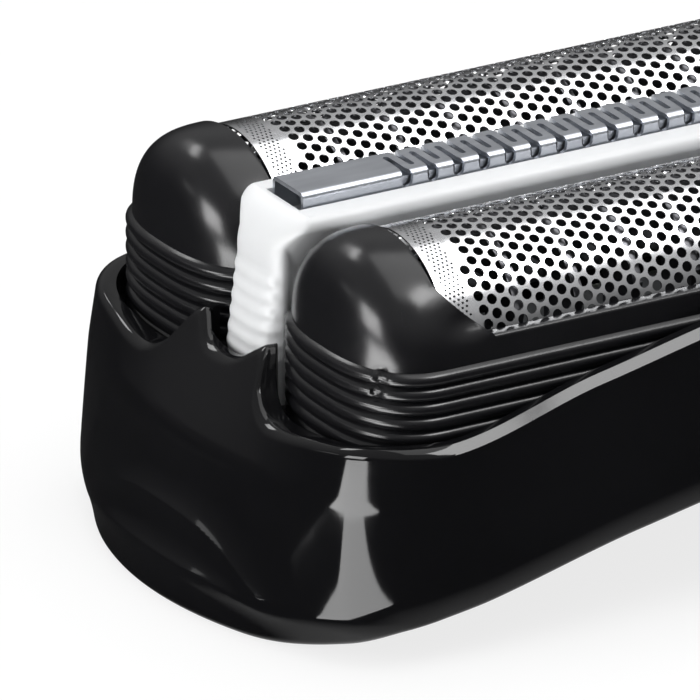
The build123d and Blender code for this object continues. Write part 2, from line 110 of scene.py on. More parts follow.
def newFinish(name, **fixed):
    # a material with one Principled shader; fixed holds the sockets that are the same all over
    material = bpy.data.materials.new(name)
    material.use_nodes = True
    shader = next(n for n in material.node_tree.nodes if n.type == "BSDF_PRINCIPLED")
    for key, value in fixed.items():
        shader.inputs[key.replace("_", " ")].default_value = value
    return material, shader, Flow(material.node_tree)


def feed(shader, **links):
    for key, flow in links.items():
        flow.tree.links.new(flow.out, shader.inputs[key.replace("_", " ")])


mould = {"slow": 0.12, "swell": 0.2, "fineShare": 0.15, "depth": 0.0002}
rolling = {"lines": 2500.0, "clouds": 260.0, "lineShare": 0.55, "cloudShare": 0.45, "depth": 0.00005}


def plastic(name, dark, light, rough, spread, gloss, ripple, grain=900.0):
    # moulded plastic: slow change of tone, fine change of roughness, a slight ripple of the mould
    material, shader, flow = newFinish(name, Specular_IOR_Level=gloss)
    slow = flow.noise(grain * mould["slow"])
    fine = flow.noise(grain, 4.0)
    swell = flow.noise(grain * mould["swell"], 1.0)
    feed(shader, Base_Color=slow.tint(dark, light), Roughness=rough + (fine - 0.5) * spread,
         Normal=(swell + fine * mould["fineShare"]).bump(ripple, mould["depth"]))
    return material


def steel(name, dark, light, rough, spread, along, ripple):
    # rolled sheet: fine lines along one direction, slow clouds of tone
    material, shader, flow = newFinish(name, Metallic=1.0)
    lines = flow.noise(rolling["lines"], 4.0, 0.6, along)
    clouds = flow.noise(rolling["clouds"])
    tone = lines * rolling["lineShare"] + clouds * rolling["cloudShare"]
    feed(shader, Base_Color=tone.tint(dark, light), Roughness=rough + (lines - 0.5) * spread,
         Normal=lines.bump(ripple, rolling["depth"]))
    return material


# a finish for each material slot, between a dark and a light tone
slotFinish = {
    "frame_gloss": plastic("frameGloss", (0.0035, 0.0035, 0.004), (0.0075, 0.0075, 0.0085),
                           rough=0.07, spread=0.05, gloss=0.22, ripple=0.035),
    "unit_black": plastic("unitBlack", (0.005, 0.005, 0.006), (0.011, 0.011, 0.0125),
                          rough=0.23, spread=0.1, gloss=0.32, ripple=0.06, grain=1600.0),
    "carrier_white": plastic("carrierWhite", (0.72, 0.73, 0.74), (0.81, 0.82, 0.83),
                             rough=0.42, spread=0.1, gloss=0.4, ripple=0.05, grain=1400.0),
    "chassis_black": plastic("chassisBlack", (0.012, 0.012, 0.013), (0.028, 0.028, 0.03),
                             rough=0.5, spread=0.15, gloss=0.4, ripple=0.1),
    "holder_grey": plastic("holderGrey", (0.09, 0.095, 0.1), (0.16, 0.165, 0.17),
                           rough=0.48, spread=0.12, gloss=0.4, ripple=0.1),
    "drive_white": plastic("driveWhite", (0.68, 0.68, 0.64), (0.78, 0.78, 0.74),
                           rough=0.4, spread=0.1, gloss=0.4, ripple=0.05),
    "foil_steel": steel("foilSteel", (0.5, 0.51, 0.53), (0.78, 0.78, 0.79),
                        rough=0.2, spread=0.14, along=(0.15, 1, 1), ripple=0.05),
    "trimmer_steel": steel("trimmerSteel", (0.36, 0.38, 0.42), (0.6, 0.62, 0.66),
                           rough=0.34, spread=0.16, along=(0.1, 1, 1), ripple=0.12),
    # the blades' steel is painted far darker than the other steels: painted shade for the shadow they sit in
    # behind the guard slots and foil holes
    "blade_steel": steel("bladeSteelPaintedShade", (0.1, 0.1, 0.11), (0.2, 0.2, 0.21),
                         rough=0.36, spread=0.15, along=(1, 0.1, 1), ripple=0.1),
    "spring_steel": steel("springSteel", (0.4, 0.4, 0.41), (0.6, 0.6, 0.61),
                          rough=0.3, spread=0.12, along=(0.2, 1, 1), ripple=0.08),
}
nodeSlot = {entry["node"]: entry["material_slot"] for entry in frame["record"]["subparts"]}
for name, node in frame["nodes"].items():
    node.data.materials.clear()
    node.data.materials.append(slotFinish[nodeSlot[name]])
print("finishes made")


def addPiece(name, points, faces, node, body, sharp=None, outward=False):
    # mesh from an array of points in mm and a list of face arrays; it stands for a CAD node
    mesh = bpy.data.meshes.new(name)
    corners = [face for rows in faces for face in np.asarray(rows).tolist()]
    mesh.from_pydata((np.asarray(points) * 0.001).tolist(), [], corners)
    if outward:
        work = bmesh.new()
        work.from_mesh(mesh)
        bmesh.ops.recalc_face_normals(work, faces=work.faces)
        work.to_mesh(mesh)
        work.free()
    mesh.shade_smooth()
    if sharp:
        mesh.set_sharp_from_angle(angle=radians(sharp))
    piece = bpy.data.objects.new(name, mesh)
    bpy.context.scene.collection.objects.link(piece)
    mesh.materials.append(slotFinish[nodeSlot[node]])
    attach(piece, body)
    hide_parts(node)
    print(name, len(mesh.vertices), "points")
    return piece


def gridFaces(rows, columns, closeRows=False, closeColumns=False):
    # quads between neighbours of a rows by columns grid of points
    r = np.arange(rows if closeRows else rows - 1)
    c = np.arange(columns if closeColumns else columns - 1)
    r, c = np.meshgrid(r, c, indexing="ij")
    r2, c2 = (r + 1) % rows, (c + 1) % columns
    corners = [r * columns + c, r * columns + c2, r2 * columns + c2, r2 * columns + c]
    return np.stack(corners, -1).reshape(-1, 4)


def gridPoints(x, y, z):
    # points from coordinates that spread over one another's rows and columns
    return np.stack(np.broadcast_arrays(x, y, z), -1)


def roundedPlan(power, count):
    # half a turn round a plan between ellipse and box: the turn, how far out, how far across
    turn = np.linspace(0, pi, count)
    out = np.sin(turn).clip(0) ** (2 / power)
    across = np.sign(np.cos(turn)) * np.abs(np.cos(turn)) ** (2 / power)
    return turn, out, across


def bulge(radius, past):
    # how far a circle still reaches where it is past its middle
    return np.sqrt(np.clip(radius ** 2 - np.clip(past, 0, None) ** 2, 0, None))


def smoothCurve(xs, ys):
    # cubic through the points, slopes by neighbours, level at both ends
    xs, ys = np.asarray(xs, float), np.asarray(ys, float)
    slope = np.zeros_like(ys)
    slope[1:-1] = (ys[2:] - ys[:-2]) / (xs[2:] - xs[:-2])

    def at(x):
        x = np.clip(x, xs[0], xs[-1])
        i = np.clip(np.searchsorted(xs, x) - 1, 0, len(xs) - 2)
        w = xs[i + 1] - xs[i]
        t = (x - xs[i]) / w
        return ((1 + 2 * t) * (1 - t) ** 2 * ys[i] + t * (1 - t) ** 2 * w * slope[i]
                + t * t * (3 - 2 * t) * ys[i + 1] + t * t * (t - 1) * w * slope[i + 1])
    return at


bothUnits = (("front", -1), ("rear", 1))
bothEnds = (("left", -1), ("right", 1))

# Foils: a flat field of hexagon cells, each with a round hole, rolled over the arch
# (turn is in degrees, dotTurn in radians)
foil = {"offset": 7.5, "axisZ": 13.9, "radius": 5.1, "sheet": 0.08, "halfLength": 18.5, "leg": 1.3,
        "pitch": 0.7, "hole": 0.262, "turn": 37.0, "fieldEnd": 17.05, "fieldReach": 7.3, "fieldRim": 0.3,
        "dotPitch": 0.25, "dot": 0.07, "dotTurn": 0.2, "dotEnd": 18.25, "dotRim": 0.06}


def perforate(span, zone, pitch, hole, turn, sides):
    # cells of a hexagon lattice clipped to span
    # a cell with its centre in zone has a hole of that many sides
    low, high = np.array(span[0]), np.array(span[1])
    first = pitch * np.array([cos(turn), sin(turn)])
    second = pitch * np.array([cos(turn + pi / 3), sin(turn + pi / 3)])
    reach = int(np.hypot(*(high - low)) / pitch) + 3
    i, j = np.meshgrid(np.arange(-reach, reach + 1), np.arange(-reach, reach + 1), indexing="ij")
    centre = (low + high) / 2 + i.reshape(-1, 1) * first + j.reshape(-1, 1) * second
    pad = pitch * 0.7
    centre = centre[np.all((centre > low - pad) & (centre < high + pad), 1)]
    step = 12 // sides
    k = np.arange(12)[step - 1::step]
    spoke = np.stack([np.cos(turn + k * pi / 6), np.sin(turn + k * pi / 6)], 1)
    edge = centre[:, None] + spoke * np.where(k % 2, pitch / sqrt(3), pitch / 2)[:, None]
    edge = np.clip(edge, low, high)
    shared, index = np.unique(np.round(edge.reshape(-1, 2), 4), axis=0, return_inverse=True)
    index = index.reshape(-1, sides)
    pierced = np.all((centre > np.array(zone[0])) & (centre < np.array(zone[1])), 1)
    ring = (centre[pierced][:, None] + spoke * hole).reshape(-1, 2)
    ringIndex = np.arange(len(ring)).reshape(-1, sides) + len(shared)
    outer = index[pierced]
    quads = np.stack([outer, np.roll(outer, -1, 1), np.roll(ringIndex, -1, 1), ringIndex], -1).reshape(-1, 4)
    x, y = np.moveaxis(edge[~pierced], -1, 0)
    area = np.abs(np.sum(x * np.roll(y, -1, 1) - y * np.roll(x, -1, 1), 1))
    return np.concatenate([shared, ring]), quads, index[~pierced][area > 1e-4], ringIndex


def rolled(flat, radius, y):
    # x stays, the other coordinate goes round the arch and then straight down a leg
    arc = np.clip(flat[:, 1] / foil["radius"], -pi / 2, pi / 2)
    leg = np.abs(flat[:, 1]) - np.abs(arc) * foil["radius"]
    return np.stack([flat[:, 0], y + radius * np.sin(arc), foil["axisZ"] + radius * np.cos(arc) - leg], 1)


def foilPiece(side, y):
    half = foil["radius"] * pi / 2 + foil["leg"]
    end, field, reach = foil["halfLength"], foil["fieldEnd"], foil["fieldReach"]
    holes = field - foil["fieldRim"]
    fields = [perforate(((-field, -half), (field, half)), ((-holes, -reach), (holes, reach)),
                        foil["pitch"], foil["hole"], radians(foil["turn"]), 12)]
    for low, high in ((field, end), (-end, -field)):
        first = max(low, -foil["dotEnd"]) + foil["dotRim"]
        last = min(high, foil["dotEnd"]) - foil["dotRim"]
        fields.append(perforate(((low, -half), (high, half)), ((first, -reach), (last, reach)),
                                foil["dotPitch"], foil["dot"], foil["dotTurn"], 6))
    points, faces, start = [], [], 0
    for flat, quads, plain, rings in fields:
        outer = rolled(flat, foil["radius"], y)
        inner = rolled(flat, foil["radius"] - foil["sheet"], y)
        wall = np.concatenate([outer[rings.ravel()], inner[rings.ravel()]])
        points += [outer, inner, wall]
        n, m = len(flat), rings.size
        faces += [quads + start, plain + start, quads[:, ::-1] + start + n, plain[:, ::-1] + start + n]
        w = np.arange(m).reshape(rings.shape) + start + 2 * n
        turned = np.roll(w, -1, 1)
        faces.append(np.stack([w, turned, turned + m, w + m], -1).reshape(-1, 4))
        start += 2 * n + 2 * m
    addPiece(side + "Sheet", np.concatenate(points), faces, side + "_foil", side + "_foil_unit")


for side, sign in bothUnits:
    foilPiece(side, sign * foil["offset"])


def join(*blocks):
    # one set of points and faces from several
    points, faces, start = [], [], 0
    for some, lists in blocks:
        some = np.asarray(some).reshape(-1, 3)
        points.append(some)
        faces += [np.asarray(rows) + start for rows in lists]
        start += len(some)
    return np.concatenate(points), faces


def carried(sections):
    # closed sections one after another, with a face on each end
    n, m = sections.shape[:2]
    return sections, [gridFaces(n, m, closeColumns=True), [np.arange(m)], [np.arange(m) + (n - 1) * m]]


def block(low, high):
    # plain box between two corners
    x, y, z = np.meshgrid(*zip(low, high), indexing="ij")
    sides = [[0, 1, 3, 2], [4, 6, 7, 5], [0, 4, 5, 1], [2, 3, 7, 6], [0, 2, 6, 4], [1, 5, 7, 3]]
    return np.stack([x, y, z], -1).reshape(-1, 3), [sides]


def arcThrough(a, b, c, count):
    # points on the circle through three points, from the first to the last
    (ax, ay), (bx, by), (cx, cy) = a, b, c
    d = 2 * (ax * (by - cy) + bx * (cy - ay) + cx * (ay - by))
    aa, bb, cc = ax * ax + ay * ay, bx * bx + by * by, cx * cx + cy * cy
    ux = (aa * (by - cy) + bb * (cy - ay) + cc * (ay - by)) / d
    uy = (aa * (cx - bx) + bb * (ax - cx) + cc * (bx - ax)) / d
    turns = np.unwrap(np.arctan2([ay - uy, by - uy, cy - uy], [ax - ux, bx - ux, cx - ux]))
    turn = np.linspace(turns[0], turns[2], count)
    radius = hypot(ax - ux, ay - uy)
    return np.stack([ux + radius * np.cos(turn), uy + radius * np.sin(turn)], 1)


# Foil frames: a ribbed and domed cap at each end with an ear along the foil, a ribbed rail along each side
unit = {"halfWidth": 5.6, "capStart": 18.85, "capReach": 3.75, "planPower": 2.5, "bottom": 8.6,
        "domeRoot": 14.3, "domeTop": 19.13, "domeTurn": 1.52, "tunnel": 5.1,
        "lipRadius": 5.15, "lipFall": 1.45, "lipHigh": 17.84, "lipLow": 16.2, "lipPower": 1.3,
        "earLength": 2.43, "earTop": 15.9, "earEase": 0.5,
        "earDent": 0.28, "earPlace": (17.6, 16.1), "earSize": (1.0, 0.6),
        "ribTop": 14.17, "ribPitch": 0.72, "ribCount": 7, "ribProud": 0.3, "ribPower": 2.5,
        "ledge": 15.4, "ledgeIn": 4.95, "ledgeRound": 0.2, "ledgeLip": 0.15, "ledgeSlope": 0.4,
        "notchHalf": 7.5, "notchTop": 11.8, "pocket": (20.7, 1.2, 2.5, 11.6),
        "lugX": (22.3, 23.3), "lugShift": 2.9, "lugHalf": 1.2, "lugHeight": 0.7}
# damaged spots on the front unit: place, radius and depth of each, and the waves that make them uneven
chips = {"spots": (((-21.72, -11.8, 13.86), 0.4, 0.34), ((-21.9, -11.66, 13.12), 0.36, 0.3)),
         "waves": (31, 47, 39, 53), "rough": 0.4, "push": 0.7}


def ribOffset(z):
    place = (unit["ribTop"] - z) / unit["ribPitch"]
    inside = (place > 0) & (place < unit["ribCount"])
    return np.where(inside, unit["ribProud"] * (1 - np.abs(2 * (place % 1) - 1) ** unit["ribPower"]), 0)


def skirtLevels():
    low = unit["ribTop"] - unit["ribPitch"] * unit["ribCount"]
    return np.concatenate([[unit["bottom"]], np.linspace(low, unit["ribTop"], unit["ribCount"] * 10 + 1)])


def endCap(end, y, chipped):
    rise = unit["domeTop"] - unit["domeRoot"]
    dome = unit["domeRoot"] + rise * np.sin(np.linspace(0, unit["domeTurn"], 36))
    z = np.concatenate([skirtLevels(), dome])[:, None]
    share = np.clip((z - unit["domeRoot"]) / rise, 0, 1)
    rib = ribOffset(z)
    half = unit["halfWidth"] * np.sqrt(1 - share ** 2) + rib
    reach = unit["capReach"] * (1 - share ** 3) ** (1 / 3) + rib
    inner = np.sqrt(np.clip(unit["lipRadius"] ** 2 - np.clip(z - foil["axisZ"], 0, None) ** 2, 0.0004, None))
    fall = np.clip((unit["lipHigh"] - z) / (unit["lipHigh"] - unit["lipLow"]), 0, None) ** unit["lipPower"]
    lip = unit["capStart"] - np.minimum(unit["lipFall"] * fall, unit["earLength"])
    k = np.linspace(0, 1, 9)[:-1]
    ear = lip + (unit["capStart"] - lip) * k
    turn, s, c = roundedPlan(unit["planPower"], 89)
    level = np.clip((unit["earTop"] - z) / unit["earEase"], 0, 1)
    earHalf = half + (unit["halfWidth"] + rib - half) * (1 - k) ** 2 * level
    outX = np.concatenate([ear, unit["capStart"] + reach * s, ear[:, ::-1]], 1)
    outY = np.concatenate([earHalf, half * c, -earHalf[:, ::-1]], 1)
    (px, pz), (sx, sz) = unit["earPlace"], unit["earSize"]
    outY -= np.sign(outY) * unit["earDent"] * np.exp(-((outX - px) / sx) ** 2 - ((z - pz) / sz) ** 2)
    if chipped:
        wx, wz, vy, vz = chips["waves"]
        for (cx, cy, cz), radius, depth in chips["spots"]:
            away = ((outX * end - cx) ** 2 + (outY + y - cy) ** 2 + (z - cz) ** 2) / radius ** 2
            torn = np.sin(wx * outX + wz * z) * np.sin(vy * outY - vz * z)
            bite = depth * np.exp(-away ** 2) * (1 - chips["rough"] + chips["rough"] * torn)
            outX = outX - bite * chips["push"]
            outY = outY + bite * chips["push"]
    inX = np.concatenate([ear, np.full((len(z), len(turn)), unit["capStart"]), ear[:, ::-1]], 1)
    inY = np.concatenate([inner + 0 * k, inner * c, -inner + 0 * k], 1)
    levels = z + 0 * outX
    t = np.linspace(0, 1, 12)[1:-1, None]
    lowX = inX[0] + (outX[0] - inX[0]) * t
    lowY = inY[0] + (outY[0] - inY[0]) * t
    px, pl, pw, top = unit["pocket"]
    lowZ = np.where((np.abs(lowX - px) < pl) & (np.abs(lowY) < pw), top, unit["bottom"])
    x = np.concatenate([outX, inX[::-1], lowX])
    yy = np.concatenate([outY, inY[::-1], lowY])
    zz = np.concatenate([levels, levels[::-1], lowZ])
    rows, columns = x.shape
    i = np.arange(len(z) - 1)
    j = 2 * len(z) - 1 - i
    rim = np.stack([i, i + 1, j - 1, j], 1) * columns
    faces = [gridFaces(rows, columns, closeRows=True), rim, rim + columns - 1]
    return np.stack([end * x, y + yy, zz], -1), faces


def sideRail(sign, y, notched):
    z = skirtLevels()
    r = unit["ledgeRound"]
    turn = np.linspace(0, pi / 2, 7)
    up = np.stack([unit["halfWidth"] + ribOffset(z), z], 1)
    bend = np.stack([unit["halfWidth"] - r + r * np.cos(turn), unit["ledge"] - r + r * np.sin(turn)], 1)
    back = [(unit["ledgeIn"], unit["ledge"]), (unit["ledgeIn"], unit["ledge"] - unit["ledgeLip"]),
            (unit["tunnel"], unit["ledge"] - unit["ledgeSlope"]), (unit["tunnel"], unit["bottom"])]
    section = np.concatenate([up, bend, back])
    end, notch, raised = unit["capStart"] - unit["earLength"], unit["notchHalf"], unit["notchTop"]
    stations = [(-end, 0), (end, 0)]
    if notched:
        stations[1:1] = [(-notch, 0), (-notch, raised), (notch, raised), (notch, 0)]
    x, floor = np.array(stations).T[..., None]
    return carried(gridPoints(x, y + sign * section[:, 0], np.maximum(section[:, 1], floor)))


for side, sign in bothUnits:
    y = sign * foil["offset"]
    blocks = [endCap(-1, y, side == "front"), endCap(1, y, False)]
    blocks += [sideRail(sign, y, False), sideRail(-sign, y, True)]
    middle, half, low = y - sign * unit["lugShift"], unit["lugHalf"], unit["bottom"]
    for name, end in bothEnds:
        near, far = sorted(end * x for x in unit["lugX"])
        blocks.append(block((near, middle - half, low), (far, middle + half, low + unit["lugHeight"])))
    addPiece(side + "Surround", *join(*blocks), side + "_foil_frame", side + "_foil_unit",
             sharp=42, outward=True)


# Outer frame: a closed profile carried round the plan; the ends are bowed and gripped, the rim is scalloped
# stations: height, half length, half width, bow of the ends; bay and neckBay: x and y limits, roundings
shell = {"stations": ((0.0, 27.4, 14.4, 5.5), (2.0, 27.6, 15.1, 5.0), (8.0, 26.0, 14.9, 3.0),
                      (15.0, 24.0, 14.68, 1.2)),
         "knee": 0.3, "corner": 5.0, "sideBow": 0.25, "wall": 1.2, "ceiling": 9.4, "archEnd": 20.0,
         "arch": ((0, 14.8), (11.5, 12.9), (20.0, 10.9)),
         "scallop": ((0, 11.4), (1.4, 11.62), (2.5, 12.35), (2.9, 12.55), (3.3, 12.35), (4.3, 10.8),
                     (6.0, 10.0), (9.5, 10.3), (14.3, 10.9)),
         "foot": ((0, 5.95), (9.2, 4.6), (17.3, 2.65), (22.1, 1.75), (26.4, 0)),
         "rimRound": 0.4, "rimEdge": 0.08, "footRound": 0.25,
         "tuck": 0.45, "tuckHeight": 1.7, "tuckPower": 1.5, "tuckFull": 1.75,
         "window": 13.75, "windowDraw": 1.15, "bay": (18.85, 5.65, 9.35, 4.4), "neckBay": (22.2, 1.8, 0.9, 2.7),
         "gripSpan": (0.3, 8.3), "gripTop": 8.6, "gripFan": 8.3, "gripWide": 10.2, "gripTaper": (0.4, 2, 5.5),
         "ridges": ((2.2, -0.6, 3.0), (4.5, -2.8, 2.5), (7.2, 0.4, 1.0)),
         "hollows": (0.06, 0.09, 0.09, 0.04), "hollowMost": 2.7, "endFrom": 21.0,
         "lean": 1.75, "leanWide": 7.8, "leanFrom": 7.9, "leanTo": 12.5, "leanEase": 0.08}
archLine, scallopLine, footLine = (smoothCurve(*zip(*shell[key])) for key in ("arch", "scallop", "foot"))


def wallSize(z):
    # half length, half width and bow of the ends at a height, the knees between the stations eased
    heights, *sizes = np.array(shell["stations"]).T
    ease = shell["knee"]
    shifts = (-ease, -ease / 3, ease / 3, ease)
    return [sum(np.interp(z + shift, heights, size) for shift in shifts) / 4 for size in sizes]


# columns of a quarter of the plan: which arc each is on (end, corner, side) and how far along it
endPlaces = np.concatenate([np.linspace(0, 6, 61), np.linspace(6, 10.5, 24)[1:]]) / 10.5
arcKind = np.repeat((0, 1, 2), (len(endPlaces), 30, 46))
arcShare = np.concatenate([endPlaces, np.linspace(0, 1, 31)[1:], np.linspace(0, 1, 47)[1:]])


def planAt(z, inset=0.0):
    # x, y and outward direction of every column of the quarter at height z
    length, width, bow = wallSize(z)
    length, width, corner = length - inset, width - inset, shell["corner"] - inset
    cy = width - shell["sideBow"]
    endR = (cy ** 2 + bow ** 2) / (2 * bow)
    sideR = ((length - bow) ** 2 + shell["sideBow"] ** 2) / (2 * shell["sideBow"])
    # centre of the corner arc, where the end and side arcs, both less the corner radius, cross
    ax, by = length - endR, width - sideR
    ra, rb, far = endR - corner, sideR - corner, np.hypot(ax, by)
    along = (ra ** 2 - rb ** 2 + far ** 2) / (2 * far)
    across = np.sqrt(ra ** 2 - along ** 2)
    ux, uy = -ax / far, by / far
    centres = [(ax + along * ux - s * across * uy, along * uy + s * across * ux) for s in (1, -1)]
    cyy = np.where(centres[0][0] > centres[1][0], centres[0][1], centres[1][1])
    cxx = np.maximum(centres[0][0], centres[1][0])
    first, last = np.arctan2(cyy, cxx - ax), np.arctan2(cyy - by, cxx)
    starts = np.stack(np.broadcast_arrays(0 * first, first, last))
    stops = np.stack(np.broadcast_arrays(first, last, 0 * last + pi / 2))
    pick = lambda options: np.choose(arcKind, list(np.broadcast_arrays(*options)))
    turn = pick(starts) + (pick(stops) - pick(starts)) * arcShare
    radius = pick((endR, 0 * endR + corner, sideR))
    x = pick((ax, cxx, 0 * cxx)) + radius * np.cos(turn)
    y = pick((0 * cyy, cyy, by)) + radius * np.sin(turn)
    return x, y, np.cos(turn), np.sin(turn)


def settle(height, inset, start):
    # height on the wall where a rim or foot line meets it, column by column
    z = np.full(len(arcKind), start)
    for step in range(6):
        x, y, *facing = planAt(z, inset)
        z = height(x, y)
    return z


def rimHeight(x, y):
    return np.where(x < shell["archEnd"], archLine(x), scallopLine(y))


def footHeight(x, y):
    return footLine(x)


def windowEdge(x, y):
    # inner edge of the rim for each column: the windows of a foil unit and of the trimmer
    ends = arcKind == 0
    side = arcKind == 2
    bayX, bayLow, bayHigh, bayRound = shell["bay"]
    neckX, neckY, neckRound, neckSide = shell["neckBay"]
    wy = np.where(ends, y - shell["windowDraw"] * (y / y[ends].max()) ** 4, 0)
    bayEnd = bayX + bulge(bayRound, np.maximum(bayLow - wy, wy - bayHigh))
    neckEnd = neckX + bulge(neckRound, wy - neckY)
    swing = arcShare * pi / 2
    wx = np.where(ends, np.where(wy < neckSide, neckEnd, bayEnd), bayX + bayRound * np.cos(swing))
    wy = np.where(ends, wy, bayHigh + bayRound * np.sin(swing))
    wx = np.where(side, x * bayX / x[arcKind == 1][-1], wx)
    return wx, np.where(side, shell["window"], wy)


def gripDepth(x, y, z, foot):
    # hollows between three ridges on the ends, and the tuck along the bottom of the long sides
    fan = np.clip(y / shell["gripFan"], 0, 1)
    lowest, highest = shell["gripSpan"]
    lines = [base + fall * fan ** power for base, fall, power in shell["ridges"]]
    lines = [lowest + 0 * fan, *lines, highest + 0 * fan]
    taper, taperFrom, taperReach = shell["gripTaper"]
    wide = np.clip(y / (shell["gripWide"] - taper * np.clip(z - taperFrom, 0, taperReach)), 0, 1)
    scoop = 0 * z
    for low, high, hollow in zip(lines, lines[1:], shell["hollows"]):
        t = np.clip((z - low) / np.maximum(high - low, 0.05), 0, 1)
        scoop = scoop + hollow * np.minimum(high - low, shell["hollowMost"]) * 4 * t * (1 - t)
    scoop = scoop * (1 - wide ** 5) * np.clip((x - shell["endFrom"]) / 3, 0, 1)
    low = np.clip(1 - (z - foot) / shell["tuckHeight"], 0, 1)
    return scoop + shell["tuck"] * low ** shell["tuckPower"] * np.clip(foot / shell["tuckFull"], 0, 1)


def leanIn(x, y, z):
    # the middle of each end leans in towards its rim, up to the trimmer's neck
    up = np.clip((z - shell["leanFrom"]) / (shell["leanTo"] - shell["leanFrom"]), 0, 1)
    fade = np.exp(-(y / shell["leanWide"]) ** 3) * np.clip((x - shell["endFrom"]) / 2, 0, 1)
    return shell["lean"] * up ** 2 / (up + shell["leanEase"]) * fade


rim, foot = settle(rimHeight, 0, 11.0), settle(footHeight, 0, 1.0)
footIn = settle(footHeight, shell["wall"], 1.0)
rowsX, rowsY, rowsZ = [], [], []


def addRow(x, y, z):
    rowsX.append(x + 0 * foot)
    rowsY.append(y + 0 * foot)
    rowsZ.append(z + 0 * foot)


def between(low, high, shares):
    # places from low to high, one for each share of the way
    return [low + (high - low) * share for share in shares]


r = shell["footRound"]
wallRows = [foot + r * (1 - cos(a)) for a in np.linspace(0, pi / 2, 5)[:-1]]
wallInset = [r * (1 - sin(a)) for a in np.linspace(0, pi / 2, 5)[:-1]]
top = rim - shell["rimRound"]
wallRows += between(foot + r, shell["gripTop"], np.linspace(0, 1, 84))
wallRows += between(shell["gripTop"], top, np.linspace(0, 1, 20)[1:])
wallInset += [0] * (len(wallRows) - len(wallInset))
r = shell["rimRound"]
# the rim is rounded on the ends and bevelled along the sides
bevel = np.where(arcKind == 2, 1.0, np.where(arcKind == 1, arcShare ** 2, 0))
for a in np.linspace(0, pi / 2, 9)[1:]:
    straight = a / (pi / 2)
    wallRows.append(top + r * (sin(a) + (straight - sin(a)) * bevel))
    wallInset.append(r * (1 - cos(a) + (straight - 1 + cos(a)) * bevel))
for z, inset in zip(wallRows, wallInset):
    x, y, nx, ny = planAt(z)
    depth = inset + gripDepth(x, y, z, foot) * np.clip((rim - z) / 2, 0, 1) + leanIn(x, y, z)
    addRow(x - nx * depth, y - ny * depth, z)
outX, outY = rowsX[-1], rowsY[-1]
edgeX, edgeY = windowEdge(*planAt(rim)[:2])
edgeZ = rimHeight(edgeX, edgeY)
shares = (0.35, 0.7, 0.94)
for row in zip(between(outX, edgeX, shares), between(outY, edgeY, shares), between(rim, edgeZ, shares)):
    addRow(*row)
for z in (edgeZ - shell["rimEdge"], (edgeZ + shell["ceiling"]) / 2, shell["ceiling"]):
    addRow(edgeX, edgeY, z)
for z in between(shell["ceiling"], footIn, np.linspace(0, 1, 9)):
    x, y, *facing = planAt(z, shell["wall"])
    addRow(x, y, z)
quarter = np.stack([np.stack(rowsX), np.stack(rowsY), np.stack(rowsZ)], -1)
n = quarter.shape[1]
# the quarter turned into the whole ring by mirroring it in X and in Y
ring = [quarter, quarter[:, n - 2::-1] * (-1, 1, 1), quarter[:, 1:] * (-1, -1, 1),
        quarter[:, n - 2:0:-1] * (1, -1, 1)]
ring = np.concatenate(ring, 1)
addPiece("outerShell", ring.reshape(-1, 3), [gridFaces(*ring.shape[:2], closeRows=True, closeColumns=True)],
         "outer_frame", "housing", sharp=38, outward=True)


# Trimmer guard: a channel with slots from the front and the rear in turn, which leaves a winding strip
guard = {"halfWidth": 1.42, "top": 19.1, "bottom": 17.4, "bend": 0.3, "sheet": 0.2, "halfLength": 20.0,
         "pitch": 0.7, "slots": 42, "slotHalf": 0.15, "slotEnd": 0.72,
         "flare": ((-2.06, 0.0), (-2.0, 0.16), (-1.86, 0.27), (-1.66, 0.3), (-1.5, 0.3), (-1.25, 0.24),
                   (-0.85, 0.15))}


def slotHalf(s):
    # half width of a slot from the front at unrolled place s: wide over the bend, round at its end
    places, halves = np.array(guard["flare"]).T
    wide = np.where(s < places[-1], smoothCurve(places, halves)(s), guard["slotHalf"])
    r = guard["slotHalf"]
    tip = bulge(r, s - guard["slotEnd"] + r)
    return np.where(s < places[0], 0, np.where(s > guard["slotEnd"] - r, tip, wide))


def foldedOver(flat, inset):
    # x stays, the other coordinate goes over the top, round a bend and down a side wall
    bend = guard["bend"] - inset
    level = guard["halfWidth"] - guard["bend"]
    s = np.abs(flat[:, 1])
    turn = np.clip((s - level) / guard["bend"], 0, pi / 2)
    drop = np.clip(s - level - guard["bend"] * pi / 2, 0, None)
    y = np.minimum(s, level) + bend * np.sin(turn)
    z = guard["top"] - inset - bend * (1 - np.cos(turn)) - drop
    return np.stack([flat[:, 0], np.sign(flat[:, 1]) * y, z], 1)


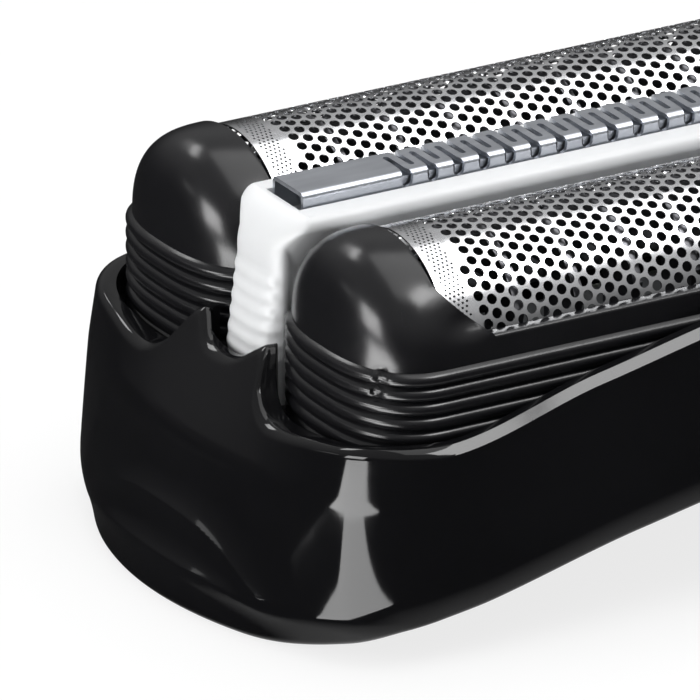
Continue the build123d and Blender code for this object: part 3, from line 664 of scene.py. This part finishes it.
def guardPiece():
    level = guard["halfWidth"] - guard["bend"]
    edge = level + guard["bend"] * pi / 2 + guard["top"] - guard["bend"] - guard["bottom"]
    tip, r = guard["slotEnd"], guard["slotHalf"]
    flare = [place for place, half in guard["flare"]]
    spots = [np.linspace(-edge, flare[0], 4), np.linspace(flare[0], flare[1], 5),
             np.linspace(flare[1], flare[-1], 30), np.linspace(flare[-1], tip - r, 12),
             tip - r + r * np.sin(np.linspace(0, pi / 2, 8))]
    spots = np.concatenate(spots)
    s = np.unique(np.round(np.concatenate([spots, -spots]), 6))
    centres = (np.arange(guard["slots"]) - (guard["slots"] - 1) / 2) * guard["pitch"]
    even = (np.arange(guard["slots"]) % 2 == 0)[:, None]
    halves = np.where(even, slotHalf(s), slotHalf(-s))
    left = np.concatenate([np.full((1, len(s)), -guard["halfLength"]), centres[:, None] + halves])
    right = np.concatenate([centres[:, None] - halves, np.full((1, len(s)), guard["halfLength"])])
    share = np.linspace(0, 1, 5)
    x = left[..., None] + (right - left)[..., None] * share
    flat = np.stack(np.broadcast_arrays(x, s[:, None]), -1)
    bars, rows, columns = x.shape
    quads = (gridFaces(rows, columns) + np.arange(bars)[:, None, None] * rows * columns).reshape(-1, 4)
    # neighbours grow together where there is no slot between them
    shared, index = np.unique(np.round(flat.reshape(-1, 2), 5), axis=0, return_inverse=True)
    quads = index.reshape(-1)[quads]
    sides = np.stack([quads, np.roll(quads, -1, 1)], -1).reshape(-1, 2)
    first, count = np.unique(np.sort(sides, 1), axis=0, return_index=True, return_counts=True)[1:]
    bare = sides[first[count == 1]]
    n = len(shared)
    walls = np.stack([bare[:, 1], bare[:, 0], bare[:, 0] + n, bare[:, 1] + n], 1)
    points = np.concatenate([foldedOver(shared, 0), foldedOver(shared, guard["sheet"])])
    addPiece("windingGuard", points, [quads, quads[:, ::-1] + n, walls], "trimmer_guard", "trimmer_unit",
             sharp=42, outward=True)


guardPiece()

# Trimmer carrier: a rail with a pocket for the guard, and a ribbed neck with a rounded shoulder at each end
carrier = {"bottom": 9.0, "top": 18.4, "stem": 1.3, "flare": ((1.3, 15.4), (1.95, 16.5), (2.9, 17.75)),
           "edge": ((2.9, 17.75), (2.78, 18.23), (2.35, 18.4)),
           "pocketHalf": 1.55, "pocketFloor": 17.4, "pocketEnd": 20.28,
           "window": 5.5, "windowTop": 14.4, "slotEnd": 2.55, "slotHalf": 0.7,
           "neckEnd": 22.6, "neckHalf": 2.2, "neckFull": 21.5, "lean": (11.4, 15.6, 22.0),
           "shoulder": ((22.0, 15.6), (21.55, 17.45), (20.5, 18.4)), "planPower": 3.4,
           "ribTop": 15.4, "ribLow": 10.84, "ribPitch": 0.76, "ribProud": 0.06, "ribFrom": 21.3, "ribFade": 0.5,
           "lug": ((22.4, -1.2, 8.65), (23.65, 1.2, 9.35))}


def railHalf():
    # outer side of the rail from its foot to the pocket's rim, as y and z
    foot = [(carrier["stem"], z) for z in np.linspace(carrier["bottom"], carrier["flare"][0][1], 9)[:-1]]
    return np.concatenate([foot, arcThrough(*carrier["flare"], 18), arcThrough(*carrier["edge"], 9)[1:]])


def railPieces():
    outside = railHalf()
    pocket = [(carrier["pocketHalf"], carrier["top"]), (carrier["pocketHalf"], carrier["pocketFloor"])]
    right = np.concatenate([outside, pocket])
    whole = np.concatenate([right, right[::-1] * (-1, 1)])
    end, window, slot = carrier["pocketEnd"], carrier["window"], carrier["slotEnd"]
    raised = carrier["windowTop"]
    x, floor = np.array([(end, 0), (window, 0), (window, raised), (slot, raised)]).T[..., None]
    inside = [(carrier["slotHalf"], carrier["pocketFloor"]), (carrier["slotHalf"], raised)]
    half = np.concatenate([right, inside])
    ends = np.array([-slot, slot])[:, None]
    blocks = []
    for side in (-1, 1):
        blocks.append(carried(gridPoints(side * x, whole[:, 0], np.maximum(whole[:, 1], floor))))
        blocks.append(carried(gridPoints(ends, side * half[:, 0], np.maximum(half[:, 1], raised))))
    return blocks


def neckPiece(side):
    low, high, leant = carrier["lean"]
    shoulder = arcThrough(*carrier["shoulder"], 30)
    ribs = np.linspace(carrier["ribLow"], carrier["ribTop"], 73)
    z = np.concatenate([[carrier["bottom"]], ribs, shoulder[:, 1]])[:, None]
    end = np.interp(z, [carrier["bottom"], low, high], [carrier["neckEnd"], carrier["neckEnd"], leant])
    end[-len(shoulder):, 0] = shoulder[:, 0]
    outside = railHalf()
    rail = np.interp(z, outside[:, 1], outside[:, 0])
    turn, s, c = roundedPlan(carrier["planPower"], 65)
    x = carrier["pocketEnd"] + (end - carrier["pocketEnd"]) * s
    t = np.clip((x - carrier["pocketEnd"]) / (carrier["neckFull"] - carrier["pocketEnd"]), 0, 1)
    plan = carrier["stem"] + (carrier["neckHalf"] - carrier["stem"]) * t * t * (3 - 2 * t)
    # the wider of the neck and the rail
    half = (plan ** 8 + rail ** 8 - np.minimum(plan, rail) ** 8 * 0.999) ** 0.125
    place = (z - carrier["ribLow"]) / carrier["ribPitch"]
    inside = (z > carrier["ribLow"]) & (z < carrier["ribTop"])
    rib = np.where(inside, carrier["ribProud"] * (0.5 - 0.5 * np.cos(2 * pi * place)), 0)
    rib = rib * np.clip((x - carrier["ribFrom"]) / carrier["ribFade"], 0, 1)
    return carried(gridPoints(side * (x + rib * np.sin(turn)), c * half + rib * np.cos(turn), z))


lugs = [block(*np.sort([np.array(corner) * (side, 1, 1) for corner in carrier["lug"]], 0)) for side in (-1, 1)]
addPiece("whiteCarrier", *join(*railPieces(), neckPiece(-1), neckPiece(1), *lugs),
         "trimmer_carrier", "trimmer_unit", sharp=40, outward=True)

# Springs: bent strips
spring = {"leaf": 0.2, "wide": 2.4, "narrow": 1.8, "chassisTop": 6.8, "plateTop": 7.75,
          "float": ((19.9, 6.9), (21.5, 6.9), (19.9, 9.2), (21.5, 11.5), (19.9, 11.5)),
          "neck": ((20.7, 6.9), (22.3, 6.9), (20.7, 8.9), (22.3, 8.9)),
          "press": ((-4.8, 7.85), (-3.4, 7.85), (-1.6, 9.3), (-1.3, 9.3)),
          "floatKeep": 0.6875, "neckKeep": 0.727, "pressKeep": 0.09}


def springPiece(name, path, end, y, width, node, body):
    # the corners of the path are cut three times over, then it gets its thickness and width
    path = np.array(path) * (end, 1)
    for step in range(3):
        near, far = path[:-1], path[1:]
        cut = np.concatenate([near * 0.75 + far * 0.25, near * 0.25 + far * 0.75], 1).reshape(-1, 2)
        path = np.concatenate([path[:1], cut[1:-1], path[-1:]])
    along = np.gradient(path, axis=0)
    across = np.stack([-along[:, 1], along[:, 0]], 1) / np.linalg.norm(along, axis=1)[:, None]
    lines = []
    for up, over in ((1, 1), (1, -1), (-1, -1), (-1, 1)):
        x, z = (path + up * across * spring["leaf"] / 2).T
        lines.append(gridPoints(x, y + over * width / 2, z))
    piece = addPiece(name, *join(carried(np.stack(lines, 1))), node, body, sharp=50, outward=True)
    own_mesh(piece)


for side, sign in bothUnits:
    y = sign * foil["offset"]
    springPiece(side + "PressSpring", spring["press"], 1, y, spring["wide"], side + "_cutter_spring", "drive")
    for name, end in bothEnds:
        springPiece(side + "FloatSpring" + name.title(), spring["float"], end, y, spring["wide"],
                    side + "_float_spring_" + name, "housing")
for name, end in bothEnds:
    springPiece("neckSpring" + name.title(), spring["neck"], end, 0, spring["narrow"],
                "trimmer_spring_" + name, "housing")


# Table, light and camera
stageSizes = {"table": 1.6, "floorTone": 0.93, "floorSpread": 0.02, "whiteShare": 0.8}
floorMesh = bpy.data.meshes.new("table")
reach = stageSizes["table"]
corners = [(-reach, -reach, 0), (reach, -reach, 0), (reach, reach, 0), (-reach, reach, 0)]
floorMesh.from_pydata(corners, [], [(0, 1, 2, 3)])
table = bpy.data.objects.new("table", floorMesh)
bpy.context.scene.collection.objects.link(table)
tableWhite, tableShader, tableFlow = newFinish("tableWhite", Roughness=0.9, Specular_IOR_Level=0.0)
tone = stageSizes["floorTone"]
feed(tableShader, Base_Color=tableFlow.noise(40.0).tint((tone,) * 3, (tone + stageSizes["floorSpread"],) * 3))
# what the camera sees of the table is mostly plain white, the rest is its lit surface with the shadow
seen = tableFlow.make("ShaderNodeLightPath") * stageSizes["whiteShare"]
plainWhite = tableFlow.make("ShaderNodeEmission", None, {"Strength": 1.0})
lit = Flow(tableWhite.node_tree, tableShader.outputs[0])
mixed = tableFlow.make("ShaderNodeMixShader", None, {0: seen, 1: lit, 2: plainWhite})
tableOut = next(n for n in tableWhite.node_tree.nodes if n.type == "OUTPUT_MATERIAL")
tableWhite.node_tree.links.new(mixed.out, tableOut.inputs[0])
floorMesh.materials.append(tableWhite)
table.visible_glossy = False

# name: place, aim, width, height, watts, where it shows: on all, in reflections only, as fill only
lamps = {
    "overhead": ((0.1, -0.03, 0.42), (0, 0, 0.01), 0.5, 0.4, 1.5, "all"),
    "leftFill": ((-0.36, 0.02, 0.13), (-0.02, 0, 0.012), 0.22, 0.2, 0.58, "fill"),
    "leftPanel": ((-0.36, -0.01, 0.066), (-0.02, 0, 0.012), 0.15, 0.12, 0.85, "gloss"),
    "leftLowNear": ((-0.039, -0.0165, 0.0006), (-0.039, -0.0165, 1), 0.022, 0.0115, 0.0098, "gloss"),
    "leftLowFar": ((-0.0755, -0.0175, 0.0006), (-0.0755, -0.0175, 1), 0.051, 0.032, 0.08, "gloss"),
    "leftBack": ((-0.33, 0.19, 0.1), (-0.026, 0, 0.005), 0.09, 0.025, 0.016, "gloss"),
    "backPanel": ((-0.075, 0.28, 0.3), (-0.02, 0, 0.012), 0.13, 0.07, 0.26, "gloss"),
    "rimPanel": ((0.1, -0.176, 0.36), (0, -0.01, 0.012), 0.17, 0.1, 0.8, "gloss"),
}
for name, (place, aim, width, height, watts, shows) in lamps.items():
    data = bpy.data.lights.new(name, "AREA")
    data.shape, data.size, data.size_y, data.energy = "RECTANGLE", width, height, watts
    lamp = bpy.data.objects.new(name, data)
    lamp.location = place
    lamp.rotation_euler = (Vector(aim) - Vector(place)).to_track_quat("-Z", "Y").to_euler()
    lamp.visible_camera = False
    lamp.visible_diffuse = shows != "gloss"
    lamp.visible_glossy = shows != "fill"
    bpy.context.scene.collection.objects.link(lamp)

# sky light from above, dark round the horizon, a pale patch straight below
sky = ((0.0, 1.0), (0.1, 0.9), (0.22, 0.03), (0.46, 0.02), (0.56, 0.1), (0.75, 0.5), (1.0, 0.6))
world = bpy.data.worlds.new("studio")
world.use_nodes = True
worldFlow = Flow(world.node_tree)
direction = worldFlow.make("ShaderNodeTexCoord", output=0)
height = worldFlow.make("ShaderNodeSeparateXYZ", None, {0: direction}, 2) * 0.5 + 0.5
stops = [(place, (level, level, level, 1)) for place, level in sky]
shade = worldFlow.make("ShaderNodeValToRGB", {"stops": stops}, {0: height})
# the camera itself sees plain white behind the table
sight = worldFlow.make("ShaderNodeLightPath")
shade = worldFlow.make("ShaderNodeMix", {"data_type": "RGBA"}, {0: sight, 6: shade, 7: (1, 1, 1, 1)}, 2)
world.node_tree.links.new(shade.out, world.node_tree.nodes["Background"].inputs[0])
bpy.context.scene.world = world

view = {"azimuth": 30.2, "elevation": 22.3, "distance": 1.2, "sensor": 36, "pixels": 700, "pixelsPerMm": 21.45,
        "aim": (-0.021, -0.0075, 0.0136)}
turn, rise = radians(view["azimuth"]), radians(view["elevation"])
back = Vector((-sin(turn) * cos(rise), -cos(turn) * cos(rise), sin(rise)))
cameraData = bpy.data.cameras.new("camera")
cameraData.sensor_width = view["sensor"]
cameraData.lens = view["sensor"] * view["distance"] * 1000 * view["pixelsPerMm"] / view["pixels"]
cameraData.clip_start, cameraData.clip_end = 0.1, 20
camera = bpy.data.objects.new("camera", cameraData)
camera.location = Vector(view["aim"]) + back * view["distance"]
camera.rotation_euler = (-back).to_track_quat("-Z", "Y").to_euler()
bpy.context.scene.collection.objects.link(camera)
bpy.context.scene.camera = camera
bpy.context.scene.view_settings.view_transform = "Standard"
print("stage set")
